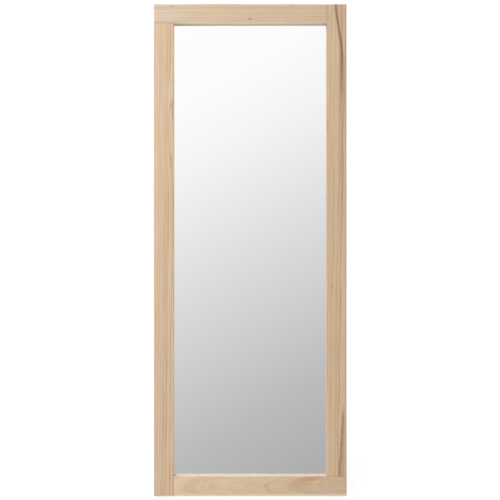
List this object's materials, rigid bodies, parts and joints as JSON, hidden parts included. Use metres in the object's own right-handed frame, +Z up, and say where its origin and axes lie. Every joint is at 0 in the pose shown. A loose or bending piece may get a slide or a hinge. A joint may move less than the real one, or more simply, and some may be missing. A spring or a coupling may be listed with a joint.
{
  "type": "free-standing full-length floor mirror",
  "caption": "Full-length floor mirror in a plain pale-wood frame, leaning back on a folding wooden stand held open by hooked steel stays.",
  "frame": {"origin": "on the floor, at the middle of the open mirror and stand", "axes": "+Z up, +X to the right of someone looking into the mirror, the mirror faces -Y"},
  "size_m": [0.7, 0.3928, 1.7693],
  "materials": {
    "pale_wood": "matte",
    "beech": "matte",
    "mirror": "polished",
    "foam": "matte",
    "hardboard": "matte",
    "screw_zinc": "satin",
    "zinc_steel": "satin",
    "rubber": "matte"
  },
  "bodies": {
    "mirror": {"frame_top_rail": "pale_wood", "frame_bottom_rail": "pale_wood", "frame_left_stile": "pale_wood", "frame_right_stile": "pale_wood", "frame_dowels_top_left": "beech", "frame_dowels_top_right": "beech", "frame_dowels_bottom_left": "beech", "frame_dowels_bottom_right": "beech", "mirror_glass": "mirror", "foam_strips": "foam", "backing_panel": "hardboard", "backing_screws": "screw_zinc", "frame_foot_left": "rubber", "hinge_mirror_leaf_left": "zinc_steel", "hinge_pin_left": "zinc_steel", "hinge_mirror_screws_left": "screw_zinc", "stay_bracket_left": "zinc_steel", "stay_bracket_screws_left": "screw_zinc", "stay_rivet_left": "zinc_steel", "stay_washer_left": "zinc_steel", "frame_foot_right": "rubber", "hinge_mirror_leaf_right": "zinc_steel", "hinge_pin_right": "zinc_steel", "hinge_mirror_screws_right": "screw_zinc", "stay_bracket_right": "zinc_steel", "stay_bracket_screws_right": "screw_zinc", "stay_rivet_right": "zinc_steel", "stay_washer_right": "zinc_steel"},
    "stand": {"stand_top_rail": "pale_wood", "stand_low_rail": "pale_wood", "stand_leg_left": "pale_wood", "stand_pad_left": "rubber", "stand_dowels_left": "beech", "hinge_stand_leaf_left": "zinc_steel", "hinge_stand_screws_left": "screw_zinc", "stay_stud_left": "zinc_steel", "stand_leg_right": "pale_wood", "stand_pad_right": "rubber", "stand_dowels_right": "beech", "hinge_stand_leaf_right": "zinc_steel", "hinge_stand_screws_right": "screw_zinc", "stay_stud_right": "zinc_steel"},
    "stay_left_bar": {"stay_left": "zinc_steel"},
    "stay_right_bar": {"stay_right": "zinc_steel"}
  },
  "joints": [
    {"name": "stand_fold", "type": "hinge", "parent": "mirror", "child": "stand", "pos_m": [0, 0.02645, 1.18655], "axis": [-1, 0, 0], "range_deg": [0, 16]},
    {"name": "stay_left_swing", "type": "hinge", "parent": "mirror", "child": "stay_left_bar", "pos_m": [-0.305, -0.05411, 0.6293], "axis": [1, 0, 0], "range_deg": [0, 93.46]},
    {"name": "stay_right_swing", "type": "hinge", "parent": "mirror", "child": "stay_right_bar", "pos_m": [0.305, -0.05411, 0.6293], "axis": [1, 0, 0], "range_deg": [0, 93.46]}
  ],
  "couplings": [
    {"joint": "stay_left_swing", "follows": "stand_fold", "ratio": 5.8415},
    {"joint": "stay_right_swing", "follows": "stand_fold", "ratio": 5.8415}
  ]
}
